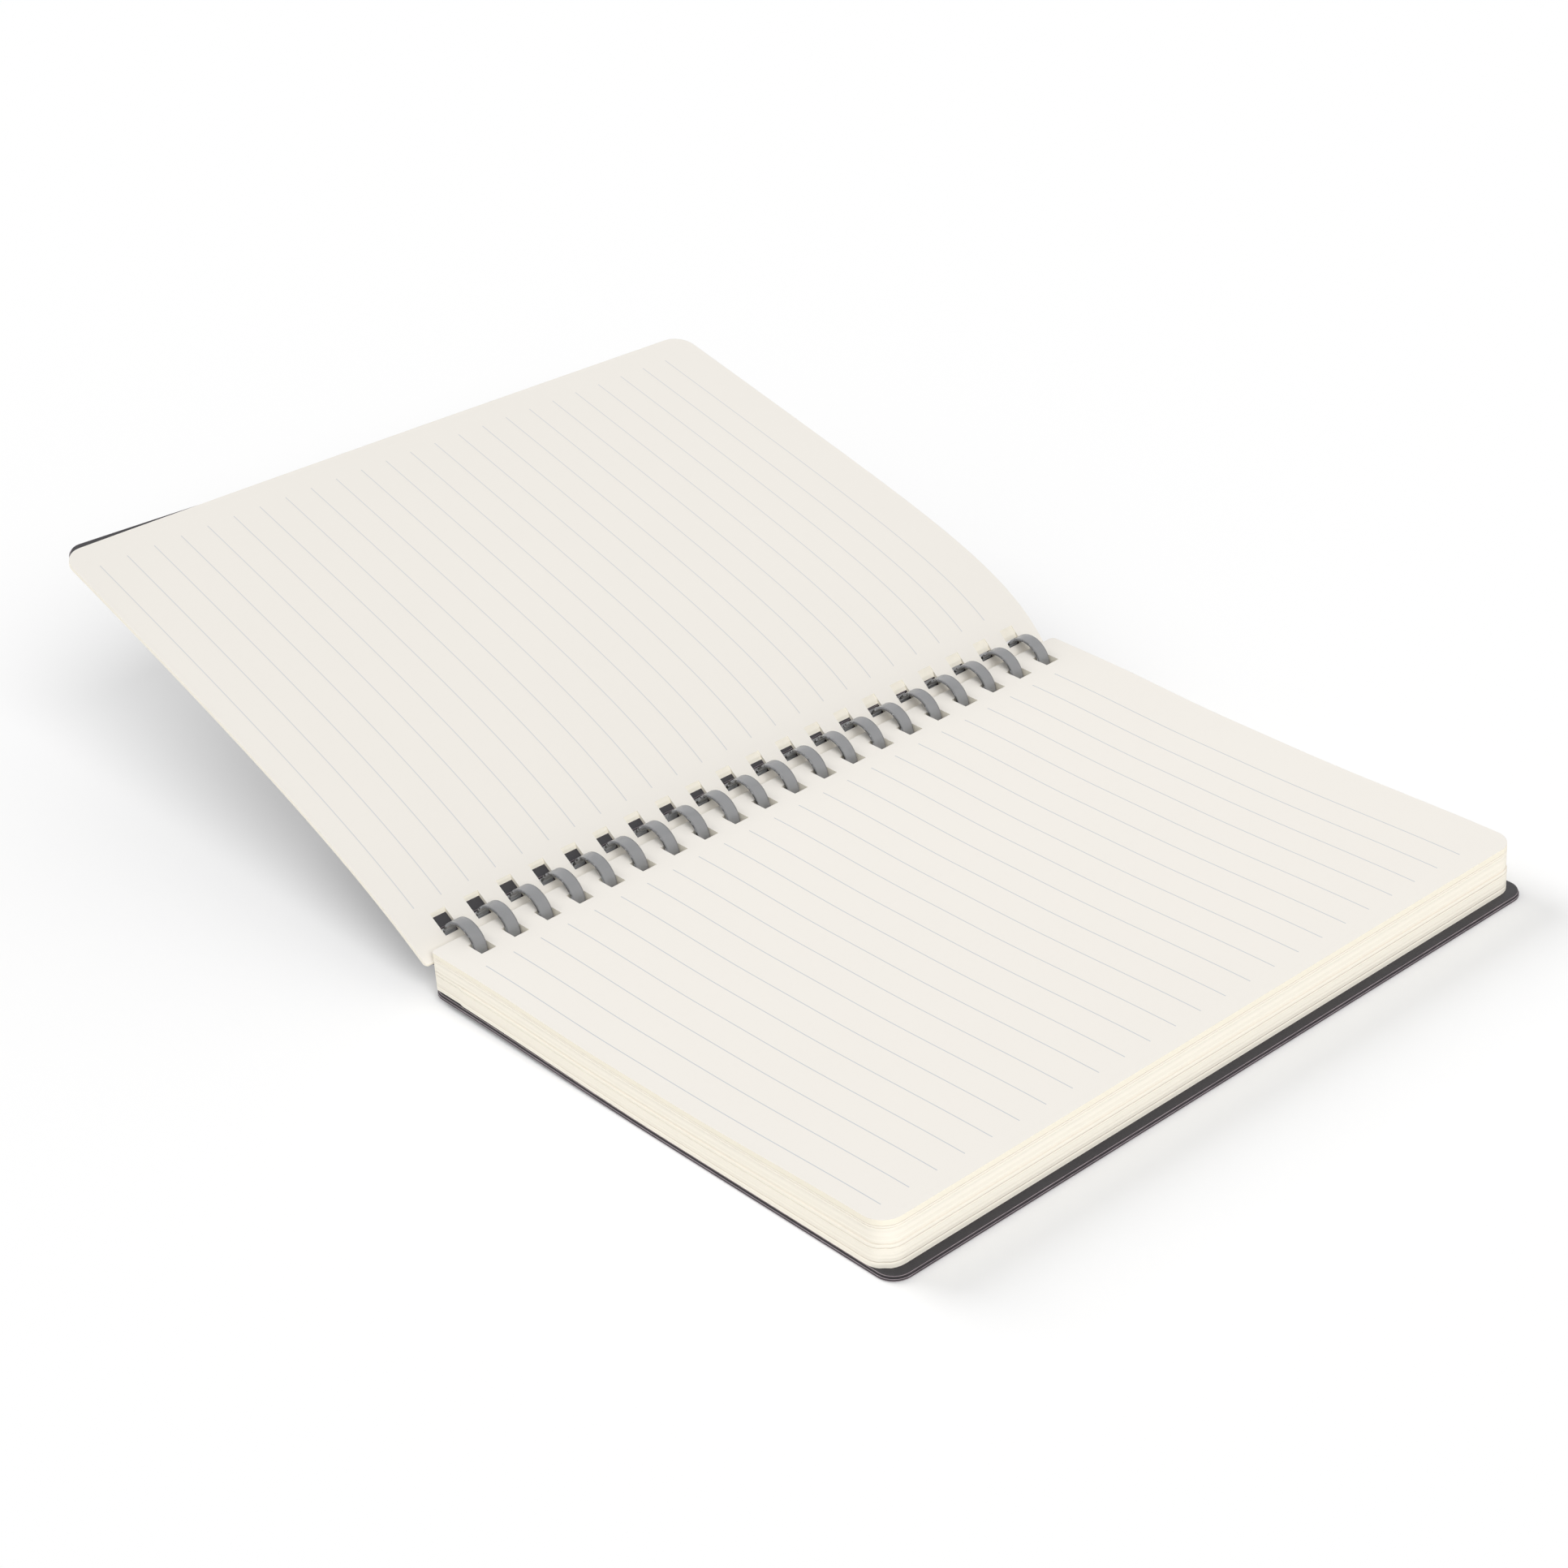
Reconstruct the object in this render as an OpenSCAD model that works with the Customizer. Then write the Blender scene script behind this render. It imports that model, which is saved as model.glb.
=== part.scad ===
// Ring-bound notebook lying open.
// The page block and the back cover lie on the table, and the front cover with
// the turned leaves on it stands up from the rings in a gentle, slightly
// twisted curve. X runs across the book, Y along the binding, Z up from the
// table. The origin is the middle of the back cover's flat underside.

/* [Sheets] */
// Width of a sheet, from its punched edge to its fore-edge
page_w = 148.5; // [120:1:180]
// Height of a sheet, along the binding
page_h = 200; // [194:1:230]
// Thickness of the page block at mid width
block_t = 10.5; // [8:0.1:10.6]
// Extra thickness where the block fans out at its fore-edge
fore_fan = 1.5; // [0:0.1:3]
// Rise of the top sheets beside the rings
ring_rise = 1.1; // [0:0.1:1.3]
// Distance of that rise's highest stretch from the slots
rise_start = 6; // [4:1:10]
// Distance over which that rise runs out
rise_run = 45; // [30:1:60]
// Thickness of the turned leaves
leaf_t = 1; // [0.5:0.1:1]
// Radius of a sheet's outer corners
page_r = 5.5; // [2:0.5:10]
// Radius of a sheet's corners beside the rings
page_spine_r = 1.2; // [0.5:0.1:3]

/* [Covers] */
// Thickness of a cover's outer skin
skin_t = 0.6; // [0.4:0.05:0.65]
// Thickness of a cover's inner lining
lining_t = 0.6; // [0.4:0.05:0.65]
// How far the back cover stands out past the block's fore-edge
overhang = 3.2; // [1:0.1:6]
// How far a cover is longer than the sheets at each end
cover_side = 0.6; // [0:0.1:3]
// How far the front cover stands out past the turned leaves, at its near end
front_reach = 0.9; // [0:0.1:5]
// Step back of the lining's edge from the skin's edge
lining_step = 0.25; // [0.1:0.05:0.6]
// Radius of a cover's corners
cover_r = 6; // [3:0.5:12]
// Height at which the rings hold the back cover's bound edge
cover_lift = 1.4; // [1.4:0.1:1.8]
// Gap between the back cover and the block at their bound edges
block_lift = 0.3; // [0:0.1:0.5]
// Distance over which the back cover comes down to the table
lift_run = 80; // [40:1:100]
// How far the front cover lies back from the leaves' near edge
front_shift = 1; // [0:0.1:2]
// Angle at which the front cover lies askew under the leaves
front_skew = 0.5; // [0:0.1:1]

/* [Comb] */
// Number of rings
ring_count = 20; // [10:1:20]
// Spacing of the rings
ring_pitch = 9.525; // [8:0.005:9.8]
// Width of a ring's band
finger_w = 3.6; // [2.5:0.1:4.2]
// Thickness of the band
band_t = 0.6; // [0.45:0.05:0.65]
// Outer width of a ring
ring_w = 12.6; // [12.4:0.1:13.4]
// Height of the rings over the block beside them
ring_over = 3.8; // [3.4:0.1:5]
// Angle of the middle of the comb's spine strip, 270 being straight down
strip_mid = 260; // [255:1:265]
// Half of the angle that the strip takes up
strip_half = 33; // [25:1:36]
// Length of the strip past the first and the last ring
strip_end = 2.5; // [1:0.1:4]
// Angle at which a band starts to bend inside the strip
tip_from = 345; // [340:1:350]
// Angle at which a band's tip ends
tip_to = 282; // [280:1:288]
// Gap between a band's tip and the strip
tip_gap = 0.2; // [0.1:0.05:0.25]

/* [Slots] */
// Play between a ring's band and a slot
slot_play = 0.3; // [0.2:0.05:0.35]
// Further play of the bands in the page block's slots, on the binding's side
page_slack = 0.9; // [0:0.1:1.5]
// Length of a slot across the binding
slot_w = 5; // [4:0.1:6]
// Strip of sheet between a slot and the punched edge
page_margin = 4.3; // [3:0.1:4.5]
// Strip of cover between a slot and the punched edge
cover_margin = 2.7; // [2:0.1:3]

/* [Raised half] */
// Height of the hinge line over the centre of the rings' upper arc
hinge_up = 0.9; // [0.8:0.05:1]
// Gap between the turned leaves and the block when they are turned back onto it
close_gap = 0.4; // [0.3:0.05:0.6]
// How far the turned leaves stand out past the block's near end
leaf_shift = 1.2; // [0:0.1:2]
// Slope of the outer leaves at their near end
slope_near = 18.5; // [5:0.5:30]
// Slope of the outer leaves at their far end
slope_far = 13.5; // [5:0.5:30]
// Slope of the raised half in the rings, at its near end
ring_slope_near = 33; // [32:0.5:42]
// Slope of the raised half in the rings, at its far end
ring_slope_far = 50; // [36:0.5:51]
// Length over which the rings' slope fades at the near end
fade_near = 43; // [15:1:60]
// Length over which the rings' slope fades at the far end
fade_far = 18; // [10:1:60]
// How far the front cover hangs clear of the leaves at its far corner
cover_sag = 3; // [0:0.1:6]

/* [Hidden] */

// how far a cutting shape goes past what it cuts
cut_past = 1;

// The shapes below are drawn about the rings, with X = 0 in their middle, and
// placed about the origin at the end.
cover_t = skin_t + lining_t;
cover_h = page_h + 2 * cover_side;
bound_top = cover_t + block_t + ring_rise;
ring_r = ring_w / 2;
ring_h = bound_top + ring_over;
bore_r = ring_r - band_t;
// heights of the centres of the rings' upper and lower arcs
arch_z = ring_h - ring_r;
foot_z = ring_r;
slot_l = finger_w + 2 * slot_play;

// the spine strip's ends, and the turn in which a band's tip comes inside it
strip_from = strip_mid - strip_half;
strip_to = strip_mid + strip_half;
tip_bend = 50;
tip_in = band_t + tip_gap;

ring_ys = [for (i = [0 : ring_count - 1]) (i - (ring_count - 1) / 2) * ring_pitch];

// smooth step from 0 to 1
function ease(t) = (1 - cos(180 * max(0, min(1, t)))) / 2;

// a point at an angle on a circle about the centre of the lower arc
function foot_point(a, r) = [r * cos(a), foot_z + r * sin(a)];

// how far a band lies inside its own circle, at an angle on its way to the tip
function tip_inset(a) = tip_in * ease((tip_from - a) / tip_bend);

// how far the bands' inner faces lie from the middle: at the block's top and,
// among the points of the lower arc that are high enough, at the back cover
block_bore_x = sqrt(pow(bore_r, 2) - pow(bound_top - arch_z, 2));
cover_bore_x = min([for (a = [tip_to : 360])
    let (p = foot_point(a, bore_r - tip_inset(a))) if (p[1] > cover_lift) p[0]]);

// heights of the lying half's faces over the table
lift_from = 2;
lift_to = lift_from + lift_run;
function lift(x) = ease(1 - (x - lift_from) / lift_run);
function cover_z(x) = cover_lift * lift(x);
function block_z(x) = cover_t + (cover_lift + block_lift) * lift(x);
function top_z(x) = cover_t + block_t + fore_fan * ease((x - fan_from) / (fore_x - fan_from))
    + ring_rise * ease((rise_to - x) / (rise_to - rise_from));

// slots of the lying half, fitted to the bands where they pass
page_slot_x = block_bore_x - slot_play - page_slack;
page_x = page_slot_x - page_margin;
cover_slot_x = cover_bore_x - slot_play;
cover_x = cover_slot_x - cover_margin;
fore_x = page_x + page_w;
fan_from = page_x + 0.55 * page_w;
// middle of the stretch in which the back cover lies flat
rest_x = (lift_to + fore_x + overhang) / 2;
rise_from = page_slot_x + slot_w + rise_start;
rise_to = rise_from + rise_run;

profile_steps = 24;
curve_fn = 48;

// outline of a sheet lying in X and Y, with the bound edge at x0
module sheet_outline(x0, x1, h, r_spine, r_fore) {
    y = h / 2;
    difference() {
        translate([x0, -y]) square([x1 - x0, h]);
        for (s = [-1, 1]) {
            corner_cut(x1, s * y, r_fore, -1, -s);
            corner_cut(x0, s * y, r_spine, 1, -s);
        }
    }
}

// what rounding takes off a square corner
module corner_cut(x, y, r, sx, sy) {
    translate([x, y]) flipped(sx, sy) difference() {
        translate([-cut_past, -cut_past]) square(r + cut_past);
        translate([r, r]) circle(r, $fn = curve_fn);
    }
}

module flipped(sx, sy) {
    mirror([sx < 0 ? 1 : 0, 0]) mirror([0, sy < 0 ? 1 : 0]) children();
}

// a section in X and Z, drawn along the whole binding
module along_binding(length) {
    translate([0, length / 2, 0]) rotate([90, 0, 0]) linear_extrude(length) children();
}

function reversed(list) = [for (i = [len(list) - 1 : -1 : 0]) list[i]];

// the slots of the lying half
module lying_slots(x0) {
    for (y = ring_ys)
        translate([x0, y - slot_l / 2, -cut_past]) cube([slot_w, slot_l, ring_h + 2 * cut_past]);
}

// one sheet of the back cover between two heights over its underside
module back_sheet(low, high, step) {
    x1 = fore_x + overhang;
    xs = [for (i = [0 : profile_steps]) cover_x + (lift_to - cover_x) * i / profile_steps];
    under = [for (x = xs) [x, cover_z(x) + low]];
    over = reversed([for (x = xs) [x, cover_z(x) + high]]);
    difference() {
        intersection() {
            along_binding(cover_h) polygon(concat(under, [[x1, low], [x1, high]], over));
            translate([0, 0, -cut_past]) linear_extrude(ring_h) sheet_outline(
                cover_x + step, x1 - step, cover_h - 2 * step, cover_r - step, cover_r - step);
        }
        lying_slots(cover_slot_x);
    }
}

module back_cover_skin() {
    color("#2f2e31") back_sheet(0, skin_t, 0);
}

module back_cover_lining() {
    color("#3d3b3f") back_sheet(skin_t, cover_t, lining_step);
}

module page_block() {
    top_xs = [for (i = [0 : 2 * profile_steps]) page_x + page_w * i / (2 * profile_steps)];
    low_xs = [for (i = [0 : profile_steps]) page_x + (lift_to - page_x) * i / profile_steps];
    under = [for (x = low_xs) [x, block_z(x)]];
    over = reversed([for (x = top_xs) [x, top_z(x)]]);
    color("#f4ecdc") difference() {
        intersection() {
            along_binding(page_h) polygon(concat(under, [[fore_x, cover_t]], over));
            linear_extrude(ring_h) sheet_outline(page_x, fore_x, page_h, page_spine_r, page_r);
        }
        lying_slots(page_slot_x);
    }
}

// a ring's band seen along the binding: up the left, over, down the right and
// in over the strip, as points on one face of it
function band_points(inset) = concat(
    [for (a = [strip_from : -8 : 181]) foot_point(a, ring_r - inset)],
    [for (a = [180 : -6 : 0]) [(ring_r - inset) * cos(a), arch_z + (ring_r - inset) * sin(a)]],
    [for (a = [360 : -5 : tip_to]) foot_point(a, ring_r - inset - tip_inset(a))]);

module finger() {
    along_binding(finger_w) polygon(concat(band_points(0), reversed(band_points(band_t))));
}

module comb_binding() {
    strip_l = (ring_count - 1) * ring_pitch + finger_w + 2 * strip_end;
    outer = [for (a = [strip_from : 6 : strip_to]) foot_point(a, ring_r)];
    inner = [for (a = [strip_from : 6 : strip_to]) foot_point(a, bore_r)];
    color("#a3a4a6") union() {
        along_binding(strip_l) polygon(concat(outer, reversed(inner)));
        for (y = ring_ys) translate([0, y, 0]) finger();
    }
}

// The raised half. A point of it is given by s, the distance from the leaves'
// punched edge measured along them, by y along the binding and by the depth
// under the leaves' upper face.
function along(y) = y / page_h + 0.5;
function between(near, far, y) = near + (far - near) * along(y);
function slope(s, y) =
    let (
        outer = between(slope_near, slope_far, y),
        run = max(s - page_margin, 0))
    outer + (ring_slope(y) - outer) * exp(-run * between(1 / fade_near, 1 / fade_far, y));
function ring_slope(y) = between(ring_slope_near, ring_slope_far, y);

// The raised sheets turn about the hinge line. Seen from there they lie at a
// depth under it, and the inner walls of their slots pass under the bands.
hinge_z = arch_z + hinge_up;
leaf_drop = bound_top + close_gap - hinge_z;
leaf_low = leaf_drop + leaf_t;
front_low = leaf_low + cover_t;
function slot_reach(depth) = sqrt(pow(bore_r - slot_play - hinge_up, 2) - pow(depth, 2));

// steps in which a path along the sheets is added up
path_steps = 12;
path_mids = [for (i = [0 : path_steps - 1]) (i + 0.5) / path_steps];
ones = [for (i = path_mids) 1];

// a point of the leaves' upper face in X and Z
function leaf_point(s, y) =
    let (
        run = s - page_margin,
        slopes = [for (t = path_mids) slope(page_margin + run * t, y)],
        m = ring_slope(y),
        u = slot_reach(leaf_drop))
    [-u * cos(m) - leaf_drop * sin(m), hinge_z + u * sin(m) - leaf_drop * cos(m)]
    + run / path_steps * [-[for (m = slopes) cos(m)] * ones, [for (m = slopes) sin(m)] * ones];

function raised_point(s, y, depth, shift, skew, sag) =
    let (
        s_now = s - s * along(y) * page_h / page_w * tan(skew),
        y_now = y + shift + s * tan(skew),
        p = leaf_point(s_now, y_now),
        m = slope(s_now, y_now),
        droop = sag * ease(s / page_w) * along(y))
    [p[0] - depth * sin(m), y_now, p[1] - depth * cos(m) - droop];

// how much a corner's rounding takes off a sheet's half height, at a distance
// from the sheet's edge
function corner_loss(from_edge, r) =
    from_edge < r ? r - sqrt(max(0, pow(r, 2) - pow(r - from_edge, 2))) : 0;

// distances along a sheet, closer together in its corners and where it bends
rows_between = 46;
function stations(width, r_spine, r_fore) = concat(
    [for (a = [0 : 30 : 90]) r_spine * (1 - cos(a))],
    [for (i = [1 : rows_between - 1])
        let (t = i / rows_between)
        r_spine + (width - r_spine - r_fore) * (0.35 * t + 0.65 * t * t)],
    [for (a = [0 : 15 : 90]) width - r_fore + r_fore * sin(a)]);

cols = 13;
function quad(a, b, c, d) = [[a, c, b], [a, d, c]];

// A raised sheet. It starts at s0 and is so wide and high, its faces lie at two
// depths, shift moves it along the binding, and skew turns it in its own plane.
module raised_sheet(s0, width, height, top, bottom, r_spine, r_fore, shift = 0, skew = 0, sag = 0) {
    ws = stations(width, r_spine, r_fore);
    rows = len(ws);
    base = rows * cols;
    last = (rows - 1) * cols;
    points = [for (depth = [top, bottom]) for (w = ws) for (j = [0 : cols - 1])
        let (half = height / 2 - corner_loss(w, r_spine) - corner_loss(width - w, r_fore))
        raised_point(s0 + w, half * (2 * j / (cols - 1) - 1), depth, shift, skew, sag)];
    face_tops = [for (i = [0 : rows - 2]) for (j = [0 : cols - 2])
        let (a = i * cols + j) each quad(a, a + 1, a + cols + 1, a + cols)];
    face_bottoms = [for (f = face_tops) [f[2] + base, f[1] + base, f[0] + base]];
    near_edge = [for (i = [0 : rows - 2])
        let (a = i * cols) each quad(a, a + cols, a + cols + base, a + base)];
    far_edge = [for (i = [0 : rows - 2])
        let (a = i * cols + cols - 1) each quad(a, a + base, a + cols + base, a + cols)];
    bound_edge = [for (j = [0 : cols - 2]) each quad(j, j + base, j + 1 + base, j + 1)];
    fore_edge = [for (j = [0 : cols - 2])
        let (a = last + j) each quad(a, a + 1, a + 1 + base, a + base)];
    polyhedron(points, concat(face_tops, face_bottoms, near_edge, far_edge, bound_edge, fore_edge));
}

// the slots of a raised sheet, from one depth to another, with the reach of
// their inner walls at each
module raised_slots(top, bottom, top_u, bottom_u) {
    lean = (bottom_u - top_u) / (bottom - top);
    high_u = top_u - lean * cut_past;
    low_u = bottom_u + lean * cut_past;
    section = [[-high_u, cut_past - top], [-high_u - slot_w, cut_past - top],
               [-low_u - slot_w, -cut_past - bottom], [-low_u, -cut_past - bottom]];
    for (y = ring_ys)
        translate([0, y, hinge_z]) rotate([0, ring_slope(y), 0])
            along_binding(slot_l) polygon(section);
}

module turned_leaves() {
    color("#f4efe8") difference() {
        raised_sheet(0, page_w, page_h, 0, leaf_t, page_spine_r, page_r, -leaf_shift);
        raised_slots(leaf_drop, leaf_low, slot_reach(leaf_drop), slot_reach(leaf_low));
    }
}

// one sheet of the front cover between two depths under the leaves
module front_sheet(low, high, step) {
    u = slot_reach(front_low);
    s0 = page_margin + u - slot_reach(leaf_drop) - cover_margin + step;
    difference() {
        raised_sheet(s0, page_w + front_reach - s0 - step, cover_h - 2 * step,
                     leaf_t + low, leaf_t + high, cover_r - step, cover_r - step,
                     front_shift - leaf_shift, front_skew, cover_sag);
        raised_slots(leaf_low + low, leaf_low + high, u, u);
    }
}

module front_cover_lining() {
    color("#3d3b3f") front_sheet(0, lining_t, lining_step);
}

module front_cover_skin() {
    color("#2f2e31") front_sheet(lining_t, cover_t, 0);
}

module placed() {
    translate([-rest_x, 0, 0]) children();
}

placed() comb_binding();
placed() back_cover_skin();
placed() back_cover_lining();
placed() page_block();
placed() turned_leaves();
placed() front_cover_lining();
placed() front_cover_skin();
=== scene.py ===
# Open ring-bound notebook: paper, covers, comb and a plain stage.
# Lengths are in metres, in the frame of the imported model: X across the book, Y along
# the binding, Z up from the table, with the origin under the middle of the back cover.

import math
import random

import bmesh
import bpy
from bpy.props import FloatProperty, FloatVectorProperty, IntProperty, PointerProperty
from mathutils import Matrix, Vector


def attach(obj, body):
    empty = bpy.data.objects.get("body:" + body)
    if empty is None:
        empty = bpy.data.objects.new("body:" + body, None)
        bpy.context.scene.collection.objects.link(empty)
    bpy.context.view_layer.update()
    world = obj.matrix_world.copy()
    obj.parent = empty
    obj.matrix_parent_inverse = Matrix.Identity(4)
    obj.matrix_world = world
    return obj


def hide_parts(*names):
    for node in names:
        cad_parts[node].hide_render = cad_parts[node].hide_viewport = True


bl_info = {
    "name": "Open Ring-Bound Notebook",
    "version": (1, 0, 0),
    "blender": (4, 5, 0),
    "location": "3D View > Sidebar > Notebook",
    "description": "Dresses an open notebook on a plastic comb and sets up a plain stage",
    "category": "Object",
}

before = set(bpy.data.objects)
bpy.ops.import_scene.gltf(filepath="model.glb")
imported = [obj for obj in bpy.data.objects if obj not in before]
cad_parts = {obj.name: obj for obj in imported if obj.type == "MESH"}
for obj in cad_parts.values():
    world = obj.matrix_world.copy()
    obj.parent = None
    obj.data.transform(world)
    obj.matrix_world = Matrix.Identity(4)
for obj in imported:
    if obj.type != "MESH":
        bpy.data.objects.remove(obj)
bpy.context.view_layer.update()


# Settings

def length(name, description, millimetres):
    return FloatProperty(name=name, description=description, default=millimetres / 1000,
                         precision=5, unit="LENGTH")


def degrees(name, description, value):
    return FloatProperty(name=name, description=description, default=math.radians(value),
                         unit="ROTATION")


def strength(name, description, value):
    return FloatProperty(name=name, description=description, default=value, min=0.0)


def colour(name, description, value):
    return FloatVectorProperty(name=name, description=description, default=value,
                               min=0.0, max=1.0, subtype="COLOR")


def direction(name, description, value):
    return FloatVectorProperty(name=name, description=description, default=value,
                               subtype="DIRECTION")


class SheetSizes(bpy.types.PropertyGroup):
    width: length("Width", "Width of a sheet from its punched edge", 148.5)
    height: length("Height", "Height of a sheet along the binding", 200)
    block: length("Block", "Thickness of the page block at mid width", 10.5)
    fore_fan: length("Fan", "Extra thickness at the block's fore-edge", 1.5)
    ring_rise: length("Rise", "Rise of the top sheets beside the rings", 1.1)
    rise_start: length("Rise start", "Distance of the rise from the slots", 6)
    rise_run: length("Rise run", "Distance over which the rise runs out", 45)
    leaves: length("Turned leaves", "Thickness of the turned leaves", 1)
    corner: length("Corner", "Radius of a sheet's outer corners", 5.5)
    bound_corner: length("Bound corner", "Radius of a sheet's corners by the rings", 1.2)
    stepped: length("Stepped", "How far the block's lower half stands out", 0.25)
    opened: length("Opened", "How much longer the leaves' slots are, near end", 1.6)
    fanned_near: length("Fanned, near", "How far the lower leaves' slots lie back, near end", 0)
    fanned_far: length("Fanned, far", "How far the lower leaves' slots lie back, far end", 2.6)
    layer: length("Layer", "Thickness of the layers that the edges show", 0.27)
    ragged: length("Ragged", "How far the layers' edges differ", 0.02)
    crease: length("Crease", "Depth of the gaps between groups of sheets", 0.2)


class RuleSizes(bpy.types.PropertyGroup):
    count: IntProperty(name="Rules", description="Number of rules on a page", default=24)
    first: length("First", "Distance of the first rule from the near end", 5.02)
    pitch: length("Pitch", "Distance between two rules", 7.89)
    line: length("Line", "Width of a rule", 0.25)
    right_from: length("Right start", "Start of the rules on the right page", 13.9)
    right_to: length("Right end", "End of the rules on the right page", 142.8)
    left_from: length("Left start", "Start of the rules on the left page", 13.7)
    left_to: length("Left end", "End of the rules on the left page", 140.7)
    right_ink: strength("Right ink", "Strength of the rules on the right page", 0.85)
    left_ink: strength("Left ink", "Strength of the rules on the left page", 0.6)


class CoverSizes(bpy.types.PropertyGroup):
    skin: length("Skin", "Thickness of a cover's outer skin", 0.6)
    lining: length("Lining", "Thickness of a cover's inner lining", 0.6)
    overhang: length("Overhang", "How far the back cover passes the block", 3.2)
    side: length("Side", "How far the back cover passes the sheets at each end", 0.6)
    front_side: length("Front side", "How far the front cover passes the sheets at each end", 0)
    front_reach: length("Front reach", "How far the front cover passes the leaves", 2.7)
    front_taper: length("Front taper", "How much less it does so at the far end", 1.6)
    step: length("Step", "Step back of the lining's edge", 0.25)
    corner: length("Corner", "Radius of a cover's corners", 4.8)
    rim: length("Rim", "Rounding of a cover's edges", 0.13)
    lift: length("Lift", "Height at which the rings hold the back cover", 1.4)
    block_lift: length("Block lift", "Gap between cover and block at the rings", 0.3)
    lift_run: length("Lift run", "Distance over which the back cover comes down", 80)
    shift: length("Shift", "How far the front cover lies back from the leaves' near end", 0.9)
    skew: degrees("Skew", "Angle at which the front cover lies askew", 0.5)
    sag: length("Sag", "How far the front cover hangs clear at its far corner", 3)


class CombSizes(bpy.types.PropertyGroup):
    count: IntProperty(name="Rings", description="Number of rings", default=20)
    pitch: length("Pitch", "Spacing of the rings", 9.525)
    band: length("Band", "Width of a ring's band", 3.6)
    thickness: length("Thickness", "Thickness of the band", 0.6)
    width: length("Width", "Outer width of a ring", 12.6)
    over: length("Over", "Height of the rings over the block", 3.8)
    strip_mid: degrees("Strip", "Angle of the middle of the spine strip", 260)
    strip_half: degrees("Strip half", "Half of the angle of the spine strip", 33)
    strip_end: length("Strip end", "Length of the strip past the rings", 2.5)
    tip_from: degrees("Tip start", "Angle at which a band bends inwards", 345)
    tip_to: degrees("Tip end", "Angle at which a band ends", 282)
    tip_gap: length("Tip gap", "Gap between a band's tip and the strip", 0.2)
    rounding: length("Rounding", "Rounding of the band's edges", 0.26)


class SlotSizes(bpy.types.PropertyGroup):
    play: length("Play", "Play between a band and a slot", 0.3)
    slack: length("Slack", "Further play in the page block's slots", 0.9)
    width: length("Width", "Length of a slot across the binding", 5)
    page_margin: length("Page margin", "Strip between a slot and a sheet's edge", 4.3)
    cover_margin: length("Cover margin", "Strip between a slot and a cover's edge", 2.7)


class RaisedSizes(bpy.types.PropertyGroup):
    hinge_up: length("Hinge", "Height of the hinge line over the centre of the rings' arch", 0.9)
    close_gap: length("Gap", "Gap between leaves and block when shut", 0.4)
    leaf_shift: length("Leaf shift", "How far the leaves pass the block's near end", 1.2)
    slope_near: degrees("Near slope", "Slope of the outer leaves, near end", 18.5)
    slope_far: degrees("Far slope", "Slope of the outer leaves, far end", 13.5)
    ring_near: degrees("Near ring slope", "Slope in the rings, near end", 33)
    ring_far: degrees("Far ring slope", "Slope in the rings, far end", 50)
    fade_near: length("Near fade", "Length over which the slope fades, near end", 43)
    fade_far: length("Far fade", "Length over which the slope fades, far end", 18)


class Colours(bpy.types.PropertyGroup):
    paper: colour("Paper", "Face of a sheet", (0.878, 0.844, 0.788))
    # Painted light: the stacks' cut edges get a lighter copy of the paper's colour, so they look
    # as bright as the lit faces
    edge: colour("Paper edge", "Cut edges of the sheets", (0.965, 0.915, 0.805))
    # Painted highlight: a creamy yellow band along the cut edges of the block's uppermost sheets
    top_edge_highlight: colour("Top edge", "Cut edges of the block's uppermost sheets", (0.94, 0.875, 0.69))
    # Painted shade: colour of the shade in the gaps between sheets and in the creases of the cut
    # edges
    crease: colour("Crease", "Gaps between the sheets", (0.80, 0.68, 0.55))
    # Painted light: paler than the cut edges, standing in for light that passes through the paper
    # and bounces between the sheets
    slot_wall: colour("Slot wall", "Cut walls of the slots", (0.985, 0.935, 0.82))
    rule: colour("Rule", "Ruled lines", (0.54, 0.565, 0.60))
    lining: colour("Lining", "Inner side of the covers", (0.036, 0.034, 0.038))
    skin: colour("Skin", "Outer side of the covers", (0.046, 0.044, 0.048))
    rim: colour("Rim", "Cut edges of the covers", (0.062, 0.052, 0.058))
    # Painted highlight: light colour on the covers' rounded rims, standing in for light caught by
    # the edges
    rim_highlight: colour("Highlit", "Worn corners along the covers' edges", (0.50, 0.42, 0.455))
    comb: colour("Comb", "Plastic of the comb", (0.375, 0.378, 0.388))
    floor: colour("Floor", "Floor of the stage", (0.90, 0.90, 0.90))


class StageSettings(bpy.types.PropertyGroup):
    camera: FloatVectorProperty(name="Camera", description="Place of the camera",
                                default=(0.47867, -0.49389, 0.46579), precision=5,
                                subtype="TRANSLATION", unit="LENGTH")
    turn: FloatVectorProperty(name="Turn", description="Angles of the camera",
                              default=[math.radians(a) for a in (59.5822, 3.3581, 47.9568)],
                              subtype="EULER", unit="ROTATION")
    lens: FloatProperty(name="Lens", description="Focal length", default=85.657,
                        unit="CAMERA")
    sun: strength("Sun", "Strength of the main lamp", 1.5)
    sun_size: degrees("Sun size", "Softness of the main lamp", 32)
    sun_from: direction("Sun from", "Direction of the main lamp", (-0.85, -0.18, 0.52))
    fill: strength("Fill", "Strength of the second lamp", 1.72)
    fill_size: degrees("Fill size", "Softness of the second lamp", 32)
    fill_from: direction("Fill from", "Direction of the second lamp", (0.86, -0.36, 0.76))
    sky: strength("Sky", "Strength of the light all round", 0.42)
    glow: strength("Glow", "Glow of the floor that only the camera sees", 0.09)


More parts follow.
